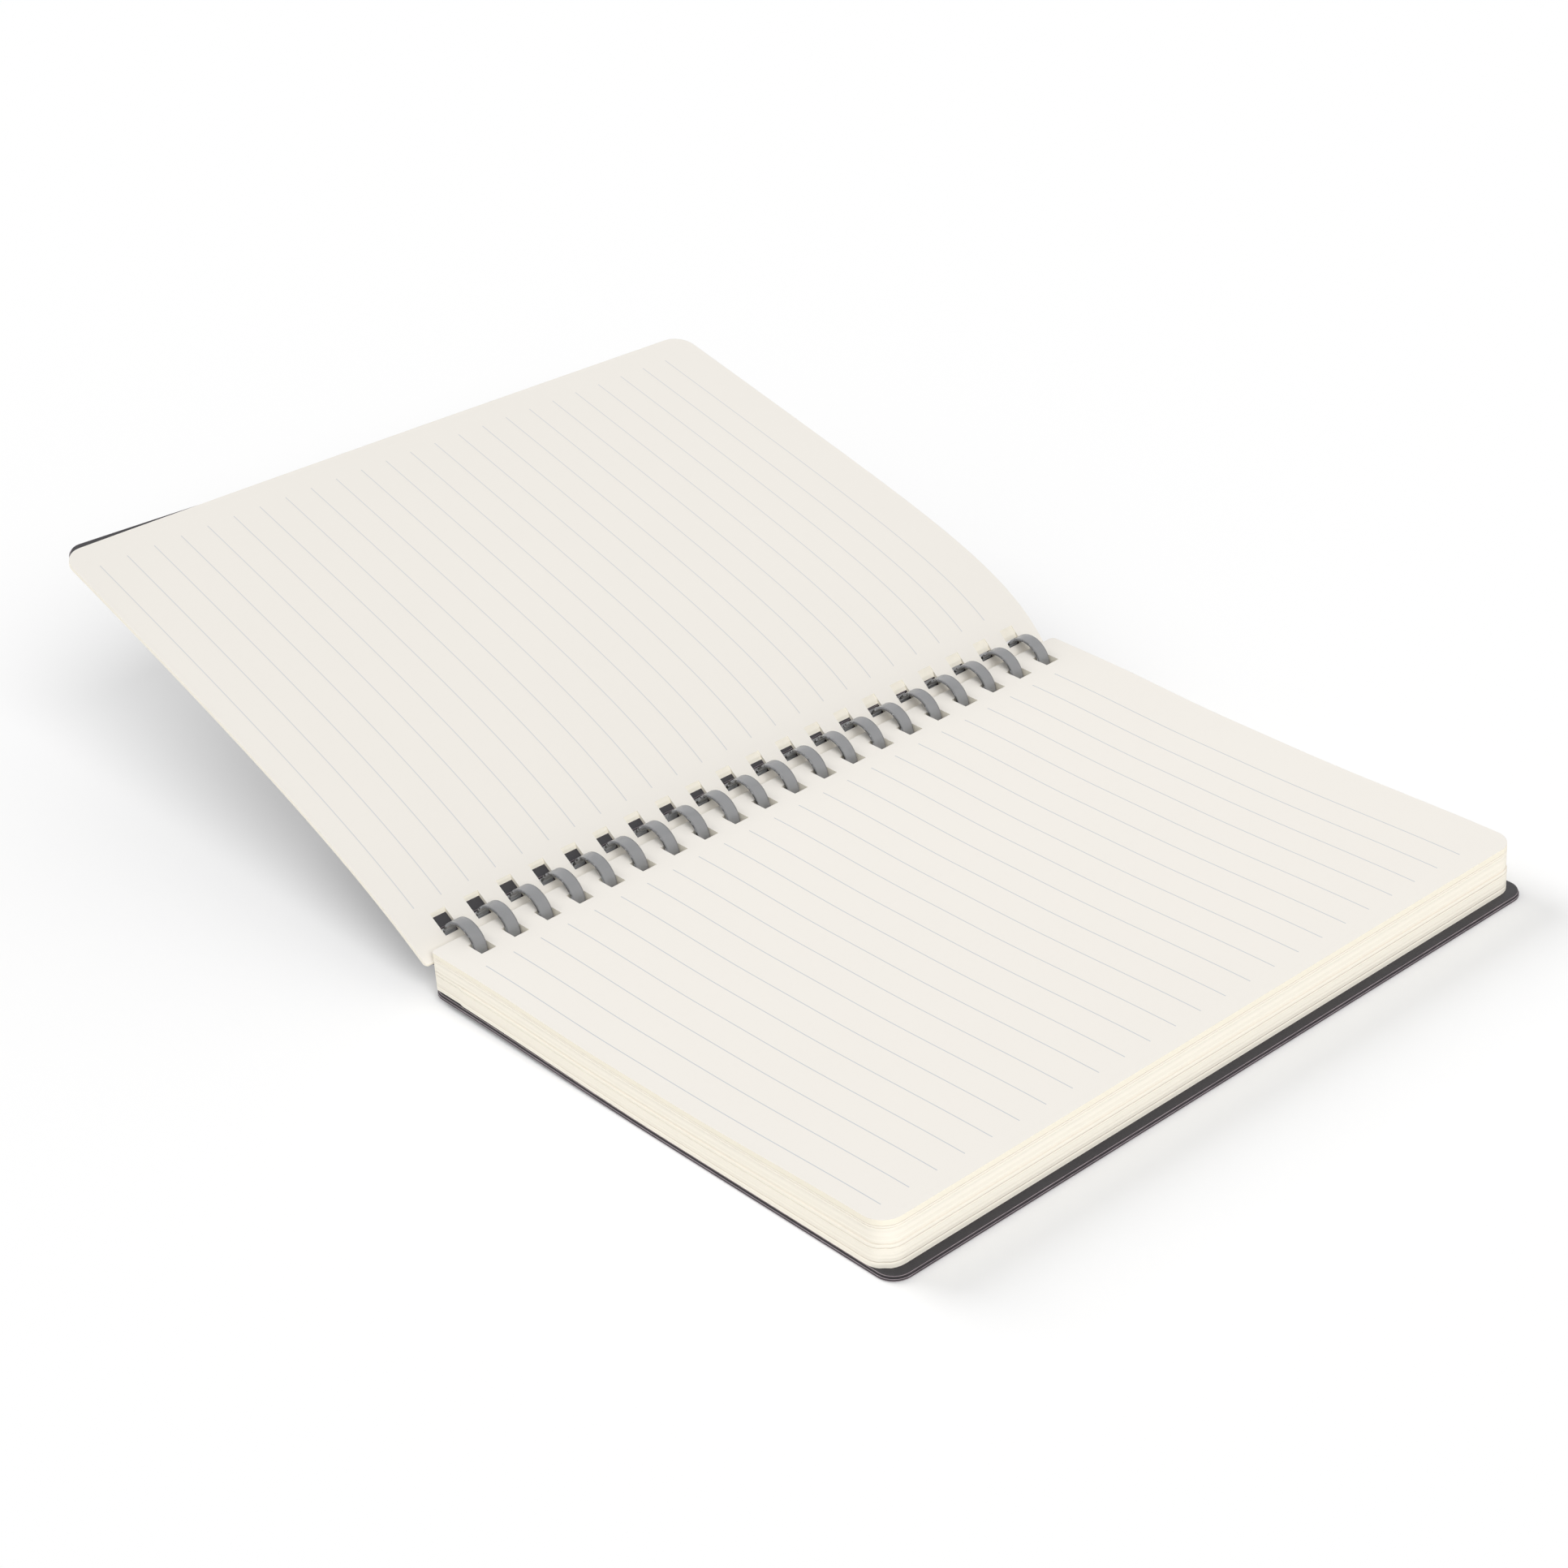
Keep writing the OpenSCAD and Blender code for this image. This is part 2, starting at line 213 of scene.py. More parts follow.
class Notebook(bpy.types.PropertyGroup):
    sheets: PointerProperty(type=SheetSizes, name="Sheets", description="Sheets")
    rules: PointerProperty(type=RuleSizes, name="Rules", description="Rules")
    covers: PointerProperty(type=CoverSizes, name="Covers", description="Covers")
    comb: PointerProperty(type=CombSizes, name="Comb", description="Comb")
    slots: PointerProperty(type=SlotSizes, name="Slots", description="Slots")
    raised: PointerProperty(type=RaisedSizes, name="Raised half", description="Raised half")
    colours: PointerProperty(type=Colours, name="Colours", description="Colours")
    stage: PointerProperty(type=StageSettings, name="Stage", description="Stage")


# Curves of the book

def ease(t):
    """A soft rise from 0 to 1."""
    return (1 - math.cos(math.pi * max(0.0, min(1.0, t)))) / 2


class Form:
    """The notebook's curves, worked out from the sizes in the scene."""

    # Steps in which a raised sheet's curve is followed out from the rings
    path_steps = 12
    # Place, across the book from the rings, at which the back cover starts to come down
    lift_from = 0.002
    # Part of a sheet's width after which the block fans out
    fan_start = 0.55
    # Angle over which a band bends inwards towards its tip
    tip_turn = math.radians(50)

    def __init__(self, book):
        self.book = book
        p, c, b, s, r = book.sheets, book.covers, book.comb, book.slots, book.raised
        self.cover_t = c.skin + c.lining
        self.bound_top = self.cover_t + p.block + p.ring_rise
        self.ring_r = b.width / 2
        self.bore_r = self.ring_r - b.thickness
        self.arch_z = self.bound_top + b.over - self.ring_r
        self.foot_z = self.ring_r
        self.slot_l = b.band + 2 * s.play
        self.ring_ys = [(i - (b.count - 1) / 2) * b.pitch for i in range(b.count)]
        block_bore = math.sqrt(self.bore_r ** 2 - (self.bound_top - self.arch_z) ** 2)
        # Places across the book at which a band's front leg is above the back cover
        passed = []
        for a in range(round(math.degrees(b.tip_to)), 361):
            angle = math.radians(a)
            radius = self.bore_r - self.tip_inset(angle)
            if self.foot_z + radius * math.sin(angle) > c.lift:
                passed.append(radius * math.cos(angle))
        self.lift_to = self.lift_from + c.lift_run
        self.page_slot = block_bore - s.play - s.slack
        self.page_x = self.page_slot - s.page_margin
        self.cover_slot = min(passed) - s.play
        self.cover_x = self.cover_slot - s.cover_margin
        self.fore_x = self.page_x + p.width
        self.fan_from = self.page_x + self.fan_start * p.width
        self.rest_x = (self.lift_to + self.fore_x + c.overhang) / 2
        self.rise_from = self.page_slot + s.width + p.rise_start
        self.rise_to = self.rise_from + p.rise_run
        self.hinge_z = self.arch_z + r.hinge_up
        self.leaf_drop = self.bound_top + r.close_gap - self.hinge_z
        self.front_low = self.leaf_drop + p.leaves + self.cover_t

    def tip_inset(self, angle):
        """How far a band lies inside its own circle on its way to the tip."""
        b = self.book.comb
        return (b.thickness + b.tip_gap) * ease((b.tip_from - angle) / self.tip_turn)

    # The lying half

    def lift(self, x):
        return ease(1 - (x - self.lift_from) / self.book.covers.lift_run)

    def cover_z(self, x):
        return self.book.covers.lift * self.lift(x)

    def block_z(self, x):
        c = self.book.covers
        return self.cover_t + (c.lift + c.block_lift) * self.lift(x)

    def top_z(self, x):
        p = self.book.sheets
        fan = ease((x - self.fan_from) / (self.fore_x - self.fan_from))
        rise = ease((self.rise_to - x) / (self.rise_to - self.rise_from))
        return self.cover_t + p.block + p.fore_fan * fan + p.ring_rise * rise

    def in_block(self, x, y, depth):
        """A point of the page block, from its place in the flat stack."""
        top, under = self.top_z(x), self.block_z(x)
        return Vector((x - self.rest_x, y, top - (top - under) * depth / self.book.sheets.block))

    def in_back_cover(self, x, y, depth):
        return Vector((x - self.rest_x, y, self.cover_z(x) + self.cover_t - depth))

    # The raised half

    def along(self, y):
        """Part of the way from the sheets' near end to their far end."""
        return y / self.book.sheets.height + 0.5

    def between(self, near, far, y):
        return near + (far - near) * self.along(y)

    def ring_slope(self, y):
        r = self.book.raised
        return self.between(r.ring_near, r.ring_far, y)

    def slope(self, s, y):
        r = self.book.raised
        outer = self.between(r.slope_near, r.slope_far, y)
        run = max(s - self.book.slots.page_margin, 0)
        fade = self.between(1 / r.fade_near, 1 / r.fade_far, y)
        return outer + (self.ring_slope(y) - outer) * math.exp(-run * fade)

    def reach(self, depth):
        """Distance of a raised slot's inner wall from the hinge line."""
        clear = self.bore_r - self.book.slots.play - self.book.raised.hinge_up
        return math.sqrt(clear ** 2 - depth ** 2)

    def leaf_point(self, s, y):
        """Place across the book and height of the upper leaf, s from its bound edge."""
        margin, m = self.book.slots.page_margin, self.ring_slope(y)
        drop, run = self.leaf_drop, s - margin
        u = self.reach(drop)
        slopes = [self.slope(margin + run * (i + 0.5) / self.path_steps, y)
                  for i in range(self.path_steps)]
        step = run / self.path_steps
        x = -u * math.cos(m) - drop * math.sin(m) - step * sum(math.cos(a) for a in slopes)
        z = (self.hinge_z + u * math.sin(m) - drop * math.cos(m)
             + step * sum(math.sin(a) for a in slopes))
        return x, z

    def in_raised_half(self, s, y, depth, shift, skew=0.0, sag=0.0):
        """A point of the raised half, from its place in a flat sheet."""
        p = self.book.sheets
        s_now = s - s * self.along(y) * p.height / p.width * math.tan(skew)
        y_now = y + shift + s * math.tan(skew)
        x, z = self.leaf_point(s_now, y_now)
        m = self.slope(s_now, y_now)
        droop = sag * ease(s / p.width) * self.along(y)
        return Vector((x - depth * math.sin(m) - self.rest_x, y_now,
                       z - depth * math.cos(m) - droop))


# Meshes

# Distance under which two places count as one
HAIR = 1e-6

# Material numbers of a piece; the third is the slots' walls of a sheet, the rims of a
# board, which carry a painted highlight
FACE, EDGE, SLOT, RIM_HIGHLIGHT = 0, 1, 2, 2

# Depths of the gaps between groups of sheets, as parts of the block's thickness
CREASES = (0.125, 0.17, 0.50, 0.585, 0.88)
LOWER_HALF = CREASES[2]

# Steps in a rounded corner, and across a lying and a raised sheet
CORNER_STEPS = 8
LYING_BENDS, RAISED_BENDS = 40, 44

# Seeds of the layers' unevenness
BLOCK_SEED, LEAVES_SEED = 11, 5


def columns_for(start, end, bends):
    """Places across a sheet at which it may bend, closer together by the rings."""
    crowding = 0.6
    return [start + (end - start) * ((1 - crowding) * t + crowding * t * t)
            for t in ((i + 1) / bends for i in range(bends - 1))]


def cut(bm, where, normal, faces=None):
    """Cuts a mesh, or only some of its faces, along a plane."""
    parts = faces if faces is not None else bm.faces[:]
    geom = set(parts)
    for face in parts:
        geom.update(face.verts)
        geom.update(face.edges)
    bmesh.ops.bisect_plane(bm, geom=list(geom), dist=HAIR, plane_co=where, plane_no=normal)


def flat_sheet(x0, x1, height, bound_r, fore_r, thickness, slot_x, slot_w, slot_l, slot_ys,
               columns, whole_rows):
    """A punched sheet lying flat, its upper face at Z = 0, ready to be bent."""
    bm = bmesh.new()
    y1 = height / 2
    bm.faces.new([bm.verts.new((x, y, 0)) for x, y in
                  ((x0, -y1), (x1, -y1), (x1, y1), (x0, y1))])
    for x, radius in ((x0, bound_r), (x1, fore_r)):
        corners = [v for v in bm.verts
                   if abs(v.co.x - x) < HAIR and abs(abs(v.co.y) - y1) < HAIR]
        bmesh.ops.bevel(bm, geom=corners, offset=radius, offset_type="OFFSET",
                        segments=CORNER_STEPS, profile=0.5, affect="VERTICES", material=-1)
    arcs = {round(v.co.x, 6) for v in bm.verts}
    for x in sorted(arcs | {slot_x, slot_x + slot_w} | set(columns)):
        if x0 + HAIR < x < x1 - HAIR:
            cut(bm, (x, 0, 0), (1, 0, 0))
    strip = (slot_x + HAIR, slot_x + slot_w - HAIR)
    for y in slot_ys:
        for side in (-1, 1):
            faces = None
            if not whole_rows:
                faces = [f for f in bm.faces
                         if strip[0] < f.calc_center_median().x < strip[1]]
            cut(bm, (0, y + side * slot_l / 2, 0), (0, 1, 0), faces)
    holes = []
    for face in bm.faces:
        centre = face.calc_center_median()
        if strip[0] < centre.x < strip[1] and any(
                abs(centre.y - y) < slot_l / 2 for y in slot_ys):
            holes.append(face)
    bmesh.ops.delete(bm, geom=holes, context="FACES")
    made = bmesh.ops.extrude_face_region(bm, geom=bm.faces[:], use_keep_orig=True)
    lower = [v for v in made["geom"] if isinstance(v, bmesh.types.BMVert)]
    bmesh.ops.translate(bm, verts=lower, vec=(0, 0, -thickness))
    bmesh.ops.recalc_face_normals(bm, faces=bm.faces[:])
    for face in bm.faces:
        heights = {round(v.co.z, 7) for v in face.verts}
        face.material_index = FACE if len(heights) == 1 else EDGE
    return bm


def outward(co, x0, x1, height, bound_r, fore_r):
    """The way out of a sheet's rounded outline, or nothing inside it."""
    radius = bound_r if co.x < (x0 + x1) / 2 else fore_r
    inner_y = height / 2 - radius
    away = Vector((co.x - min(max(co.x, x0 + radius), x1 - radius),
                   co.y - min(max(co.y, -inner_y), inner_y), 0))
    return away.normalized() if away.length > HAIR else Vector((0, 0, 0))


def layers_of(thickness, layer, ragged, seed, creases=(), crease_depth=0.0):
    """Layers of a stack as pairs: the depth at which one ends, how far it stands out."""
    rng = random.Random(seed)
    thinnest, gap, left_over = 0.2 * layer, 0.28 * layer, 0.4 * layer
    uneven = (0.6, 1.4)
    gaps = [crease * thickness for crease in creases]
    found, depth = [], 0.0
    while depth < thickness - left_over:
        step = layer * rng.uniform(*uneven)
        if gaps and depth + step > gaps[0]:
            above = max(gaps.pop(0), depth + thinnest)
            found.append((above, rng.uniform(-ragged, 0)))
            depth = above + gap
            found.append((depth, -crease_depth))
            continue
        depth += step
        found.append((min(depth, thickness), rng.uniform(-ragged, 0)))
    found[-1] = (thickness, found[-1][1])
    return found


def layer_edges(bm, layers, outline):
    """Gives the walls of a flat stack the uneven edges of its layers."""
    half_step = 0.00001
    for depth, _ in layers[:-1]:
        for z in (-depth + half_step, -depth - half_step):
            walls = [f for f in bm.faces if f.material_index == EDGE]
            cut(bm, (0, 0, z), (0, 0, 1), walls)
    for vert in bm.verts:
        depth = -vert.co.z
        push = next((out for end, out in layers if depth <= end), layers[-1][1])
        vert.co += outward(vert.co, *outline) * push


def step_out(bm, below, from_x, to_x, height, by):
    """Moves a stack's outer walls out below a depth, between two places across it."""
    near = 0.001
    for vert in bm.verts:
        if -vert.co.z > below and vert.co.x > from_x + near:
            if vert.co.x > to_x - near:
                vert.co.x += by
            if abs(vert.co.y) > height / 2 - near:
                vert.co.y += math.copysign(by, vert.co.y)


def place_leaf_slots(bm, book, form, top_leaf):
    """Moves the slots' walls of the flat leaves to where the rings and the fan put them."""
    p, s = book.sheets, book.slots
    walls = (s.page_margin, s.page_margin + s.width)
    shared = 0.75
    for vert in bm.verts:
        if min(abs(vert.co.x - wall) for wall in walls) > 10 * HAIR:
            continue
        depth, outer = -vert.co.z, vert.co.x > sum(walls) / 2
        vert.co.x += form.reach(form.leaf_drop + depth) - form.reach(form.leaf_drop)
        if outer:
            fanned = 0.0
            if depth > top_leaf:
                under = (depth - top_leaf) / (p.leaves - top_leaf)
                fanned = (shared + (1 - shared) * under) * form.between(
                    p.fanned_near, p.fanned_far, vert.co.y)
            vert.co.x += p.opened * (1 - form.along(vert.co.y)) - fanned


def slot_walls(bm, low, high, height):
    """Gives the walls of the slots their own finish."""
    near = 0.002
    for face in bm.faces:
        centre = face.calc_center_median()
        inside = low - near < centre.x < high + near and abs(centre.y) < height / 2 - near
        if face.material_index == EDGE and inside:
            face.material_index = SLOT


def rounded_rims(bm, radius, highlight_above):
    """Rounds the edges of a flat board, whose rims are painted with a highlight above a depth."""
    rims = [edge for edge in bm.edges
            if len({face.material_index for face in edge.link_faces}) > 1]
    made = bmesh.ops.bevel(bm, geom=rims, offset=radius, offset_type="OFFSET", segments=2,
                           profile=0.5, affect="EDGES", clamp_overlap=True, material=-1)
    # Faces of the rounding above the depth take the painted highlight
    for face in made["faces"]:
        if face.calc_center_median().z > -highlight_above:
            face.material_index = RIM_HIGHLIGHT


def bend(bm, place, corner=(0.0, 0.0)):
    """Writes the flat places down, counted from a corner, then bends the sheet."""
    uv = bm.loops.layers.uv.new("flat")
    depth = bm.verts.layers.float.new("depth")
    for face in bm.faces:
        for loop in face.loops:
            co = loop.vert.co
            loop[uv].uv = (co.x - corner[0], co.y - corner[1])
    for vert in bm.verts:
        vert[depth] = -vert.co.z
    for vert in bm.verts:
        vert.co = place(vert.co.x, vert.co.y, -vert.co.z)


def finished(bm, name, materials, body, node, slot, sharp=35):
    """Turns a mesh into a named piece that rides on its body."""
    limit = math.radians(sharp)
    for face in bm.faces:
        face.smooth = True
    for edge in bm.edges:
        edge.smooth = not edge.is_manifold or edge.calc_face_angle(0) < limit
    mesh = bpy.data.meshes.new(name)
    bm.to_mesh(mesh)
    bm.free()
    for material in materials:
        mesh.materials.append(material)
    piece = bpy.data.objects.new(name, mesh)
    bpy.context.scene.collection.objects.link(piece)
    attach(piece, body)
    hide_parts(node)
    return piece


# Materials

class Wire:
    """A node's output, on which sums can be written."""

    def __init__(self, look, socket):
        self.look, self.socket = look, socket

    def math(self, operation, *values):
        return self.look.node("ShaderNodeMath", {"operation": operation},
                              dict(enumerate(values)))[0]

    def __add__(self, other):
        return self.math("ADD", self, other)

    def __radd__(self, other):
        return self.math("ADD", other, self)

    def __sub__(self, other):
        return self.math("SUBTRACT", self, other)

    def __rsub__(self, other):
        return self.math("SUBTRACT", other, self)

    def __mul__(self, other):
        return self.math("MULTIPLY", self, other)

    def __rmul__(self, other):
        return self.math("MULTIPLY", other, self)

    def __truediv__(self, other):
        return self.math("DIVIDE", self, other)

    def size(self):
        return self.math("ABSOLUTE", self)

    def whole(self):
        """The nearest whole number."""
        return self.math("ROUND", self)

    def swing(self, reach):
        """The value going up to a reach and back again."""
        return self.math("PINGPONG", self, reach)

    def over(self, limit):
        """1 over a limit, else 0."""
        return self.math("GREATER_THAN", self, limit)

    def held(self):
        """The value kept between 0 and 1."""
        return self.math("MAXIMUM", self.math("MINIMUM", self, 1.0), 0.0)


class Made:
    """A node, whose outputs are read by name or number."""

    def __init__(self, look, node):
        self.look, self.made = look, node

    def __getitem__(self, key):
        return Wire(self.look, self.made.outputs[key])


class Look:
    """A material or world in the making."""

    def __init__(self, data):
        self.data = data
        data.use_nodes = True
        self.tree = data.node_tree
        self.tree.nodes.clear()

    def node(self, kind, settings=None, sockets=None):
        """Makes a node from its type, its settings and its sockets' values or links."""
        node = self.tree.nodes.new(kind)
        for key, value in (settings or {}).items():
            setattr(node, key, value)
        for key, value in (sockets or {}).items():
            socket = node.inputs[key]
            if isinstance(value, Wire):
                self.tree.links.new(value.socket, socket)
            elif hasattr(value, "__len__") and len(value) == 3 and \
                    len(socket.default_value) == 4:
                socket.default_value = (*value, 1.0)
            else:
                socket.default_value = value
        return Made(self, node)

    def mix(self, factor, low, high):
        """A mix of two colours, whose sockets a Mix node keeps at these numbers."""
        return self.node("ShaderNodeMix", {"data_type": "RGBA"},
                         {"Factor": factor, 6: low, 7: high})[2]

    def place(self):
        return self.node("ShaderNodeTexCoord")["Object"]

    def depth(self):
        """Depth below a stack's upper face before it was bent."""
        return self.node("ShaderNodeAttribute", {"attribute_name": "depth"})["Fac"]

    def split(self, vector):
        return self.node("ShaderNodeSeparateXYZ", {}, {"Vector": vector})

    def joined(self, x, y, z=0.0):
        return self.node("ShaderNodeCombineXYZ", {}, {"X": x, "Y": y, "Z": z})["Vector"]

    def stretched(self, scale):
        """The place with another scale along each axis."""
        return self.node("ShaderNodeMapping", {"vector_type": "POINT"},
                         {"Vector": self.place(), "Scale": scale})["Vector"]

    def noise(self, scale, detail=3.0, roughness=0.55, vector=None):
        return self.node("ShaderNodeTexNoise", {"noise_dimensions": "3D"},
                         {"Vector": vector or self.place(), "Scale": scale,
                          "Detail": detail, "Roughness": roughness})["Fac"]

    def bump(self, height, distance, strength=1.0, normal=None):
        sockets = {"Height": height, "Distance": distance, "Strength": strength}
        if normal:
            sockets["Normal"] = normal
        return self.node("ShaderNodeBump", {}, sockets)["Normal"]

    def surface(self, **sockets):
        """The one shader of a plain material; under_score names stand for sockets."""
        named = {key.replace("_", " "): value for key, value in sockets.items()}
        shader = self.node("ShaderNodeBsdfPrincipled", {}, named)
        self.node("ShaderNodeOutputMaterial", {}, {"Surface": shader["BSDF"]})
        return self.data


def new_look(name):
    return Look(bpy.data.materials.new(name))


def shaded(shade, factor):
    """A colour made darker or lighter."""
    return [min(1.0, c * factor) for c in shade]


def ruled_paper(book, name, start, end, ink):
    """Uncoated paper with thin ruled lines that follow the sheet."""
    rules, shades = book.rules, book.colours
    blur = 0.00006
    look = new_look(name)
    flat = look.split(look.node("ShaderNodeUVMap", {"uv_map": "flat"})["UV"])
    x, y = flat["X"], flat["Y"]
    step = (y - rules.first) / rules.pitch
    nearest = step.whole()
    off = (step - nearest).size() * rules.pitch
    line = ((rules.line / 2 - off) / blur + 0.5).held()
    line = line * nearest.over(-0.5) * (rules.count - 0.5 - nearest).over(0.0)
    line = line * ((x - start) / blur).held() * ((end - x) / blur).held()
    specks = look.noise(2500.0, detail=2.0)
    fibre = look.noise(900.0, detail=4.0, roughness=0.6)
    cloud = look.noise(28.0)
    tint = look.mix(((cloud - 0.5) * 0.5 + (fibre - 0.5) * 0.35 + 0.5).held(),
                    shaded(shades.paper, 0.985), shaded(shades.paper, 1.012))
    base = look.mix((line * (0.96 + 0.08 * specks) * ink).held(), tint, shades.rule)
    waves = look.noise(14.0, detail=1.0)
    normal = look.bump(waves, distance=0.0007, strength=0.5)
    normal = look.bump(fibre, distance=0.00002, strength=0.35, normal=normal)
    return look.surface(Base_Color=base, Roughness=0.86 + 0.08 * fibre, Normal=normal,
                        Specular_IOR_Level=0.25)


def paper_edge(book, name, creases=()):
    """Cut edges of many sheets: fine uneven layers that run along the edge, painted lighter than
    the faces, with painted shade between the sheets and in the creases and a painted highlight
    under the top.
    """
    shades = book.colours
    look = new_look(name)
    depth = look.depth()
    place = look.split(look.place())
    run, across = place["X"] + place["Y"], place["X"] - place["Y"]
    sheets = look.noise(1.0, roughness=0.6,
                        vector=look.joined(run * 26.0, depth * 9000.0, across * 3.0))
    groups = look.noise(1.0, detail=2.0, roughness=0.5,
                        vector=look.joined(run * 9.0, depth * 2200.0, across * 2.0))
    # Painted shade in the gaps between single sheets and between groups of sheets
    gap_shade = ((0.50 - sheets) * 1.6).held() * 0.12 + ((0.40 - groups) * 3.0).held() * 0.12
    # The cut edges start from the lighter edge colour, which is painted light
    base = look.mix(gap_shade.held(), shades.edge, shades.crease)
    if creases:
        # Painted highlight: a creamy yellow band along the top sheets' edges
        top_end, top_fade = 0.00135, 0.0003
        top = ((top_end - depth) / top_fade).held() * 0.4
        base = look.mix(top, base, shades.top_edge_highlight)
    # Painted shadow along each crease between groups of sheets
    half, blur = 0.00011, 0.00006
    for crease in creases:
        away = (depth - crease * book.sheets.block).size()
        shadow = ((half - away) / blur).held() * (0.1 + 0.5 * groups)
        base = look.mix(shadow, base, shades.crease)
    normal = look.bump(sheets * 0.6 + groups * 0.4, distance=0.00006, strength=0.5)
    return look.surface(Base_Color=base, Roughness=0.9, Normal=normal, Specular_IOR_Level=0.2)


def slot_paper(book, name):
    """Walls of the punched slots: rougher than the sheets' cut edges, and painted paler for the
    light that passes through the paper and bounces between the sheets.
    """
    shades = book.colours
    look = new_look(name)
    depth = look.depth()
    place = look.split(look.place())
    sheets = look.noise(1.0, roughness=0.6, vector=look.joined(
        (place["X"] + place["Y"]) * 160.0, depth * 5200.0))
    torn = look.noise(900.0)
    base = look.mix(((sheets - 0.5) * 1.4 + (torn - 0.5) * 0.6 + 0.5).held(),
                    shaded(shades.slot_wall, 0.9), shades.slot_wall)
    normal = look.bump(sheets * 0.6 + torn * 0.4, distance=0.00006, strength=0.5)
    return look.surface(Base_Color=base, Roughness=0.92, Normal=normal, Specular_IOR_Level=0.2)


def cover_cloth(name, base, grain, rough):
    """Charcoal cover with a fine grain, a little lighter in patches of wear."""
    look = new_look(name)
    pebble = look.node("ShaderNodeTexVoronoi", {"feature": "DISTANCE_TO_EDGE"}, {
        "Vector": look.place(), "Scale": 1500.0, "Randomness": 1.0})["Distance"]
    fine = look.noise(3200.0, roughness=0.6)
    cloud = look.noise(45.0, detail=4.0)
    shade = ((cloud - 0.5) * 1.1 + (fine - 0.5) * 0.9 + 0.5).held()
    tint = look.mix(shade, shaded(base, 0.82), shaded(base, 1.28))
    normal = look.bump((pebble * 2.2).held() * 0.7 + fine * 0.3, distance=0.00009,
                       strength=grain)
    return look.surface(Base_Color=tint, Roughness=rough + 0.12 * cloud, Normal=normal,
                        Specular_IOR_Level=0.4)


def board_edge(book, name, shade, highlight_below=None):
    """Edge of a cover, with light fibres in it, and a painted highlight below a depth if one is
    given.
    """
    look = new_look(name)
    fibre = look.noise(1.0, detail=4.0, roughness=0.65,
                       vector=look.stretched((420.0, 420.0, 2600.0)))
    spots = look.noise(160.0)
    light = ((fibre - 0.42) * 3.0).held() * 0.6 + ((spots - 0.45) * 2.0).held() * 0.4
    base = look.mix(light.held(), shaded(shade, 0.5), shaded(shade, 1.12))
    if highlight_below is not None:
        # Painted highlight: a light line along the edge below the given depth
        blur = 0.00004
        rim_highlight = ((look.depth() - highlight_below) / blur).held() * (0.5 + 0.6 * spots)
        base = look.mix(rim_highlight.held(), base, book.colours.rim_highlight)
    normal = look.bump(fibre, distance=0.00006, strength=0.6)
    return look.surface(Base_Color=base, Roughness=0.75, Normal=normal)


def comb_plastic(book, name):
    """Smoky moulded plastic that lets a little light through, with painted shade along the edges
    of each band.
    """
    shade, sizes = book.colours.comb, book.comb
    look = new_look(name)
    cloud = look.noise(120.0)
    scuff = look.noise(1.0, detail=4.0, roughness=0.6,
                       vector=look.stretched((900.0, 160.0, 900.0)))
    base = look.mix(((cloud - 0.5) * 0.7 + 0.5).held(), shaded(shade, 0.95),
                    shaded(shade, 1.05))
    along = look.split(look.place())["Y"]
    # Painted shade: each band darker towards its two edges
    off_middle = sizes.pitch / 2 - along.swing(sizes.pitch / 2)
    edge = ((off_middle - 0.34 * sizes.band) / (0.16 * sizes.band)).held() * 0.55
    base = look.mix(edge, base, shaded(shade, 0.45))
    normal = look.bump(scuff, distance=0.00001, strength=0.3)
    return look.surface(Base_Color=base, Roughness=0.18 + 0.12 * scuff, Normal=normal,
                        Transmission_Weight=0.1, IOR=1.46, Subsurface_Weight=0.7,
                        Subsurface_Radius=(1.0, 1.0, 1.0), Subsurface_Scale=0.0015)


# Sheets

def stack_finishes(book, side, piece, ruling, creases=()):
    """The finishes of a stack, in the order of its material numbers."""
    return [ruled_paper(book, "ruled_paper_" + side, *ruling),
            paper_edge(book, "paper_edge_" + piece, creases),
            slot_paper(book, "slot_paper_" + piece)]


class NOTEBOOK_OT_page_block(bpy.types.Operator):
    """Builds the lying page block as a stack of sheets with uneven edges"""
    bl_idname = "notebook.page_block"
    bl_label = "Page Block"

    def execute(self, context):
        book = context.scene.notebook
        form, p, s, rules = Form(book), book.sheets, book.slots, book.rules
        slots_end = form.page_slot + s.width
        outline = (form.page_x, form.fore_x, p.height, p.bound_corner, p.corner)
        bm = flat_sheet(*outline, p.block, form.page_slot, s.width, form.slot_l, form.ring_ys,
                        columns_for(slots_end, form.fore_x, LYING_BENDS), False)
        layers = layers_of(p.block, p.layer, p.ragged, BLOCK_SEED, CREASES, p.crease)
        layer_edges(bm, layers, outline)
        step_out(bm, LOWER_HALF * p.block, slots_end, form.fore_x, p.height, p.stepped)
        slot_walls(bm, form.page_slot, slots_end, p.height)
        bend(bm, form.in_block, (form.page_x, -p.height / 2))
        ruling = (rules.right_from, rules.right_to, rules.right_ink)
        finished(bm, "page_stack", stack_finishes(book, "right", "block", ruling, CREASES),
                 "book", "page_block", "paper")
        return {"FINISHED"}


